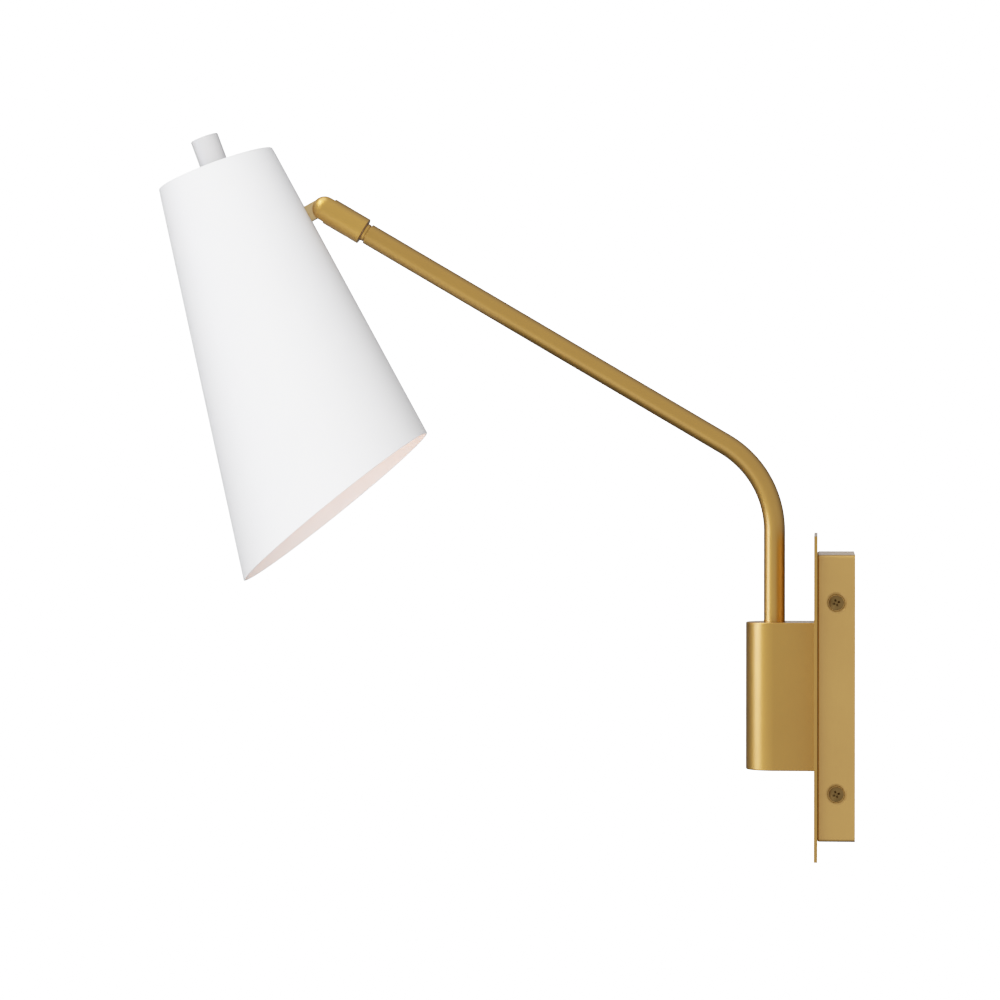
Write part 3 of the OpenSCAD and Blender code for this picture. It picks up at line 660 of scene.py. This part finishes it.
def make_knuckle():
    """Swivel with a ball nose, sawn to a fork for the tongue."""
    start, end = KNUCKLE_START, KNUCKLE_START + KNUCKLE_LEN
    slot_half, slot_depth = 3.5, 11.2
    bore, bore_end, cable_r = 4.56, start + 14.5, 2.7
    pin, pin_hole_r, pin_hole_end = end - 5.6, 1.72, 6
    head_r, head_seat = 3.0, -5.6
    grub, grub_r = start + 6.6, 1.52
    back_edge, fork_edge = 0.35, 0.18
    profile = [(bore, start)]
    profile += arc(KNUCKLE_R - back_edge, start + back_edge, back_edge, -90, 0, 4)
    profile += arc(0, end - KNUCKLE_R, KNUCKLE_R, 0, 89, 26)
    profile += [(0, end), (0, bore_end), (bore, bore_end)]
    bm = turned(profile, 96, closed=True)
    bmesh.ops.remove_doubles(bm, verts=bm.verts, dist=1e-4)
    reach = KNUCKLE_R + 2
    cuts = [
        block_bm((-slot_half, -reach, end - slot_depth), (slot_half, reach, end + 2)),
        rod_bm(cable_r, (0, 0, start + 10), (0, 0, end - slot_depth + 1)),
        rod_bm(pin_hole_r, (-reach, 0, pin), (pin_hole_end, 0, pin)),
        rod_bm(head_r, (-reach, 0, pin), (head_seat, 0, pin)),
        rod_bm(grub_r, (0, 1, grub), (0, -reach, grub)),
    ]
    bm = carve(bm, cuts)
    soften(bm, fork_edge, 42)
    # Its lighter brass is painted light reflected from the white shade.
    return piece("knuckle_turned", bm, ARM, "knuckle", shade_lit_brass, grain_around)


# ---------------------------------------------------------------- wall mount


def d_outline(width, back_y, centre_y, inset, z, steps=48):
    """Plan of the pivot block: round in front, straight to the plate."""
    r = width / 2 - inset
    points = []
    for i in range(steps + 1):
        a = math.pi + math.pi * i / steps
        points.append((r * math.cos(a), centre_y + r * math.sin(a), z))
    points += [(r, back_y, z), (-r, back_y, z)]
    return points


def make_pivot_block():
    """Hollow block, open at the plate, with two bearing seats and two screw bosses."""
    low, high = (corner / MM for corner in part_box("pivot_block"))
    width, back = high.x - low.x, high.y
    axis_y = swing_y / MM
    edge, edge_steps = 0.7, 4
    web_low, web_high, web_reach = -7, -2, 14
    collar_r, collar_low = 10.5, 29
    collar_bore_r, web_bore_r, tube_gap = 8, 6.6, 0.3
    roof, lip = 4, 1.5
    boss_r, boss_len, screw_hole_r, screw_hole_depth = 4.6, 14, 2.52, 11
    turns = [math.radians(90 * i / edge_steps) for i in range(edge_steps + 1)]
    rounding = [(edge * (1 - math.sin(a)), edge * (1 - math.cos(a))) for a in turns]
    shape = [d_outline(width, back, axis_y, inset, low.z + height) for inset, height in rounding]
    shape += [d_outline(width, back, axis_y, inset, high.z - height) for inset, height in reversed(rounding)]
    outer = stacked(shape)
    floor, ceiling = low.z + BLOCK_WALL, high.z - roof
    hollow = stacked([d_outline(width, back + 1, axis_y, BLOCK_WALL, z) for z in (floor, ceiling)])
    screws = [(low.z + high.z) / 2 + side * BLOCK_SCREW_RISE for side in (-1, 1)]
    kept = [
        block_bm((-width, axis_y - width, web_low), (width, axis_y + web_reach, web_high)),
        rod_bm(collar_r, (0, axis_y, collar_low), (0, axis_y, high.z + 1)),
    ]
    kept += [rod_bm(boss_r, (0, back + 2, z), (0, back - boss_len, z)) for z in screws]
    hollow = carve(hollow, kept)
    cuts = [
        hollow,
        rod_bm(collar_bore_r, (0, axis_y, collar_low - 1), (0, axis_y, high.z - lip), 64),
        rod_bm(TUBE_R + tube_gap, (0, axis_y, high.z - 10), (0, axis_y, high.z + 2), 64),
        rod_bm(web_bore_r, (0, axis_y, web_low - 1), (0, axis_y, web_high + 1)),
    ]
    cuts += [rod_bm(screw_hole_r, (0, back + 1, z), (0, back - screw_hole_depth, z)) for z in screws]
    bm = carve(outer, cuts)
    return piece("pivot_block_cast", bm, ROW, "pivot_block", grain=grain_along(2), sharp=30)


def box_ring(width, height, corner, y, inset, steps=8):
    """Rounded rectangle in the plane of the wall."""
    w, h = width / 2 - inset, height / 2 - inset
    r = max(corner - inset, 0.2)
    corners = ((w - r, h - r, 0), (r - w, h - r, 90), (r - w, r - h, 180), (w - r, r - h, 270))
    points = []
    for cx, cz, start in corners:
        for i in range(steps + 1):
            a = math.radians(start + 90 * i / steps)
            points.append((cx + r * math.cos(a), y, cz + r * math.sin(a)))
    return points


def make_back_box():
    """Pressed box, open at the wall, with a dimple round each side screw."""
    low, high = (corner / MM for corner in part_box("back_box"))
    width, height = high.x - low.x, high.z - low.z
    sheet, corner, edge, edge_steps = 1.6, 2.4, 1.1, 6
    dimple_floor_r, dimple_r, dimple_mouth_r, dimple_depth = 4.7, 6.3, 6.9, 0.8
    side_hole_r, block_hole_r, cable_hole_r, cable_z = 2.7, 2.75, 5, -27
    block_middle = -1
    shape = [box_ring(width, height, corner, high.y, 0)]
    for i in range(edge_steps + 1):
        a = math.radians(90 * i / edge_steps)
        y = low.y + edge * (1 - math.sin(a))
        shape.append(box_ring(width, height, corner, y, edge * (1 - math.cos(a))))
    outer = stacked(shape)
    hollow = stacked([box_ring(width, height, corner, y, sheet) for y in (high.y + 1, low.y + sheet)])
    profile = [(0, 0), (dimple_floor_r, 0), (dimple_r, dimple_depth)]
    profile += [(dimple_mouth_r, 2 * dimple_depth), (0, 2 * dimple_depth)]
    cuts = [hollow]
    for x, y, z in side_screw_places():
        side = 1 if x > 0 else -1
        face = side * width / 2
        dimple = turned(profile, 48)
        place = Matrix.Translation((face - side * dimple_depth, y, z)) @ facing_x(side)
        bmesh.ops.transform(dimple, matrix=place, verts=dimple.verts)
        cuts += [dimple, rod_bm(side_hole_r, (face - side * 4, y, z), (face + side, y, z))]
    holes = [(cable_hole_r, cable_z)]
    holes += [(block_hole_r, block_middle + side * BLOCK_SCREW_RISE) for side in (-1, 1)]
    cuts += [rod_bm(r, (0, low.y - 1, z), (0, low.y + 3, z)) for r, z in holes]
    bm = carve(outer, cuts)
    # The box's lighter brass is painted light on its flat sides.
    return piece("back_box_pressed", bm, ROW, "back_box", lit_sheet_brass, grain_along(2), sharp=26)


def facing_x(side):
    """Turn that points a turned part's z along +x or -x."""
    return Matrix.Rotation(math.radians(90 * side), 4, "Y")


def side_screw_places():
    """Centres of the four screws in the box's sides, in mm."""
    low, high = (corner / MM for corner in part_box("side_screws"))
    y = (low.y + high.y) / 2
    z = high.z - SIDE_SCREW_HEAD_R
    return [(x, y, side * z) for x in (low.x, high.x) for side in (-1, 1)]


def cross_recess(head_r, depth):
    """Cutters for the tapered cross of a driver, standing on z = 0 and pointing down."""
    wide, narrow, thick = head_r * 0.56, head_r * 0.2, head_r * 0.13
    first_turn = 20
    cutters = []
    for turn in (first_turn, first_turn + 90):
        outlines = []
        for reach, z in ((narrow, -depth), (wide, 0), (wide * 1.2, 1)):
            outlines.append([(reach, thick, z), (-reach, thick, z), (-reach, -thick, z), (reach, -thick, z)])
        wing = stacked(outlines)
        bmesh.ops.rotate(wing, matrix=Matrix.Rotation(math.radians(turn), 3, "Z"), verts=wing.verts)
        cutters.append(wing)
    return cutters


def make_side_screws():
    """Oval-head screws: domed head, rounded rim, tapered cross recess and a threaded shank."""
    head_r, head_h, crown = SIDE_SCREW_HEAD_R, 1.9, 0.85
    shank_r, length = 2.4, 7.0
    turns, pitch, thread_depth = 8, 0.8, 0.32
    rim, rim_z, recess_depth = 0.25, -1.15, 1.5
    profile = [(0, 0)] + [(head_r * s, -crown * s ** 2.4) for s in (0.2, 0.4, 0.6, 0.75, 0.88, 0.96)]
    profile += arc(head_r - rim, rim_z, rim, 60, -90, 4)
    profile += [(head_r - 0.3, -head_h), (shank_r, -head_h)]
    for i in range(turns):
        z = -head_h - pitch / 2 - i * pitch
        profile += [(shank_r, z), (shank_r - thread_depth, z - pitch / 2)]
    profile += [(shank_r - 0.3, -head_h - length), (0, -head_h - length)]
    screws = bmesh.new()
    for x, y, z in side_screw_places():
        screw = carve(turned(profile, 48, closed=False), cross_recess(head_r, recess_depth))
        place = Matrix.Translation((x, y, z)) @ facing_x(1 if x > 0 else -1)
        bmesh.ops.transform(screw, matrix=place, verts=screw.verts)
        mesh = bpy.data.meshes.new("screw_part")
        screw.to_mesh(mesh)
        screw.free()
        screws.from_mesh(mesh)
        bpy.data.meshes.remove(mesh)
    return piece("side_screws_oval", screws, ROW, "side_screws", sharp=30)


# ---------------------------------------------------------------- lamp


def make_lamp():
    """Frosted globe and flared white body of the lamp."""
    globe_r, globe_z, joint_z, neck_z = 30.0, -128.0, -112.0, -75.0
    neck_r, neck_edge, wall, globe_wall = 13.6, 0.8, 1.5, 1.0
    joint_r = math.sqrt(globe_r ** 2 - (joint_z - globe_z) ** 2)
    top = math.degrees(math.asin((joint_z - globe_z) / globe_r))
    outer = arc(0, globe_z, globe_r, -90, top, 40)
    inner = arc(0, globe_z, globe_r - globe_wall, top - 0.6, -90, 40)
    globe = turned(outer + inner, 96, closed=False)
    piece("lamp_globe", globe, SHADE, "bulb_globe")
    flare_start = neck_z - neck_edge
    side = [(0, neck_z)] + arc(neck_r - neck_edge, flare_start, neck_edge, 90, 10, 4)
    steps, swell = 16, 0.9
    for i in range(1, steps + 1):
        share = i / steps
        r = neck_r + (joint_r - neck_r) * share - swell * math.sin(math.pi * share)
        side.append((r, flare_start + (joint_z - flare_start) * share))
    side += [(joint_r - wall, joint_z), (neck_r - wall - 0.9, neck_z - wall - 4), (0, neck_z - wall)]
    piece("lamp_body", turned(side, 96, closed=False), SHADE, "bulb_housing", grain=grain_around)


# ---------------------------------------------------------------- build everything

make_shade()
make_knob()
make_arm_tube()
make_end_fitting()
make_knuckle()
make_pivot_block()
make_back_box()
make_side_screws()
make_lamp()
refined("wall_plate", 0.3, grain_along(2))
# The tongue's paler brass is a painted highlight on its flat face.
refined("tongue", 0.35, grain_around, highlit_face_brass)
refined("tilt_screw", 0.15)
refined("wall_bracket", 0.3, grain_along(2))
refined("wire_nuts", 0.3)
refined("ground_screw", 0.12)
refined("socket_body", 0.3)
refined("socket_bracket", 0.2)
refined("socket_cap", 0.4)
refined("switch_body", 0.4)
refined("stem_nut", 0.2)
refined("switch_nut", 0.2)

for node, obj in frame["nodes"].items():
    material = SLOT_MATERIALS[node_slots[node]]
    for slot in obj.material_slots:
        slot.material = material


# ---------------------------------------------------------------- camera, lights and floor

CAMERA_AT = Vector((2.400, -0.0206, 0.143))
CAMERA_AIM = Vector((0.0, -0.21185, 0.11537))
CAMERA_LENS = 144.556
WHITE_LEVEL = 4.0  # radiance that the camera shows as pure white


def look(obj, at, aim):
    obj.location = at
    obj.rotation_mode = "QUATERNION"
    obj.rotation_quaternion = (Vector(aim) - Vector(at)).to_track_quat("-Z", "Y")


def add_camera():
    data = bpy.data.cameras.new("camera")
    data.sensor_width = 36
    data.lens = CAMERA_LENS
    camera = bpy.data.objects.new("camera", data)
    scene.collection.objects.link(camera)
    look(camera, CAMERA_AT, CAMERA_AIM)
    scene.camera = camera


def add_softbox(name, at, aim, width, height, power, colour=(1, 1, 1)):
    data = bpy.data.lights.new(name, "AREA")
    data.shape = "RECTANGLE"
    data.size = width
    data.size_y = height
    data.energy = power
    data.color = colour
    light = bpy.data.objects.new(name, data)
    scene.collection.objects.link(light)
    look(light, at, aim)
    light.visible_camera = False
    return light


def add_lights():
    """A frontal key for diffuse light; the other softboxes only make reflections."""
    middle = (0, -0.2, 0.12)
    key = add_softbox("key", (2.3, -0.45, 0.35), middle, 1.5, 1.5, 68)
    key.visible_glossy = False
    left = add_softbox("left", (0.55, -1.8, 0.45), middle, 1.0, 1.2, 32, (0.92, 1.0, 1.3))
    high = add_softbox("high", (0.6, -1.5, 1.6), middle, 1.0, 1.0, 26)
    top = add_softbox("top", (0.1, -0.7, 1.9), middle, 1.0, 1.0, 8)
    back = add_softbox("back", (-2.2, -0.2, 0.45), middle, 1.6, 0.5, 2.2)
    low = add_softbox("low", (0.86, -0.6, -0.52), middle, 0.7, 0.7, 1.3)
    for shine in (left, high, top, back, low):
        shine.visible_diffuse = False


def add_world():
    """White where the camera sees it; for light, a studio that is brighter in front than behind."""
    world = bpy.data.worlds.new("studio")
    scene.world = world
    world.use_nodes = True
    tree = world.node_tree
    direction = tree.nodes.new("ShaderNodeSeparateXYZ")
    place = tree.nodes.new("ShaderNodeTexCoord")
    tree.links.new(place.outputs["Generated"], direction.inputs[0])
    forward = direction.outputs["X"]
    path = tree.nodes.new("ShaderNodeLightPath")
    soft = tree.nodes["Background"]
    soft.inputs["Color"].default_value = (1.0, 1.0, 1.01, 1)
    tree.links.new(spread(tree, forward, 0.05, 1.55, -1, 1), soft.inputs["Strength"])
    shine = tree.nodes.new("ShaderNodeBackground")
    shine.inputs["Color"].default_value = (1, 1, 1, 1)
    lean = tree.nodes.new("ShaderNodeMath")
    lean.operation = "MULTIPLY_ADD"
    lean.inputs[1].default_value = 0.5
    tree.links.new(direction.outputs["Z"], lean.inputs[0])
    tree.links.new(forward, lean.inputs[2])
    tree.links.new(spread(tree, lean.outputs[0], 0.12, 1.05, -0.6, 0.6), shine.inputs["Strength"])
    seen = tree.nodes.new("ShaderNodeBackground")
    seen.inputs["Color"].default_value = (WHITE_LEVEL, WHITE_LEVEL, WHITE_LEVEL, 1)
    for_shine = tree.nodes.new("ShaderNodeMixShader")
    tree.links.new(path.outputs["Is Glossy Ray"], for_shine.inputs["Fac"])
    tree.links.new(soft.outputs[0], for_shine.inputs[1])
    tree.links.new(shine.outputs[0], for_shine.inputs[2])
    for_camera = tree.nodes.new("ShaderNodeMixShader")
    tree.links.new(path.outputs["Is Camera Ray"], for_camera.inputs["Fac"])
    tree.links.new(for_shine.outputs[0], for_camera.inputs[1])
    tree.links.new(seen.outputs[0], for_camera.inputs[2])
    tree.links.new(for_camera.outputs[0], tree.nodes["World Output"].inputs["Surface"])


def set_camera_response():
    """A film shoulder: bright tones roll off towards white, as they do in a studio photograph."""
    view = scene.view_settings
    view.view_transform = "Standard"
    view.use_curve_mapping = True
    mapping = view.curve_mapping
    mapping.white_level = (WHITE_LEVEL, WHITE_LEVEL, WHITE_LEVEL)
    mapping.extend = "HORIZONTAL"
    points = mapping.curves[3].points
    steps = 12
    for i in range(1, steps):
        share = (i / steps) ** 2
        shoulder = (1 - math.exp(-share * WHITE_LEVEL)) / (1 - math.exp(-WHITE_LEVEL))
        points.new(share, shoulder)
    mapping.update()


def add_floor():
    material, tree = node_tree("pale_floor")
    paper = shader(tree, Roughness=0.9, Emission_Strength=0.25)
    paper.inputs["Emission Color"].default_value = (1, 1, 1, 1)
    tone = noise(tree, object_coordinates(tree), 6, detail=2)
    colour = blend_colours(tree, spread(tree, tone, 0, 1), (0.9, 0.9, 0.9), (0.88, 0.88, 0.88))
    tree.links.new(colour, paper.inputs["Base Color"])
    floor = loose_object("floor", turned([(0, 0), (3.2, 0)], 96, closed=False))
    floor.location.z = -0.75
    floor.data.materials.append(material)
    floor.visible_glossy = False


add_camera()
add_lights()
add_world()
add_floor()
set_camera_response()
